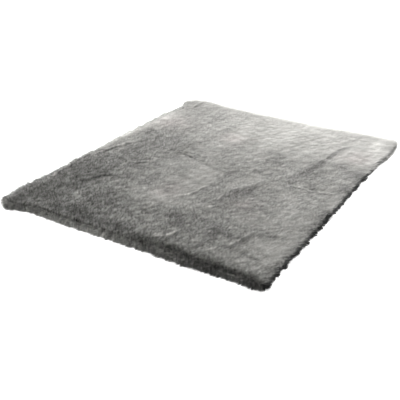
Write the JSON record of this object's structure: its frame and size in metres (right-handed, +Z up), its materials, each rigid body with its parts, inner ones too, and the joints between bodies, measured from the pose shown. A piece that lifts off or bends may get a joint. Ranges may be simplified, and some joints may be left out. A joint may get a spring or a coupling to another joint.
{
  "type": "faux fur rug",
  "caption": "Flat rectangular one-piece floor rug of thick plush fur pile with soft rounded edges and faint fold furrows.",
  "frame": {"origin": "on the floor under the middle of the rug's bounding box", "axes": "+Z up out of the pile, +Y along the rug's long sides, +X across its width"},
  "size_m": [1.2188, 1.4784, 0.0347],
  "materials": {
    "fur": "grey plush faux-fur pile, soft sheen, darker at the roots"
  },
  "bodies": {
    "root": {"fur_rug": "fur"}
  },
  "joints": []
}
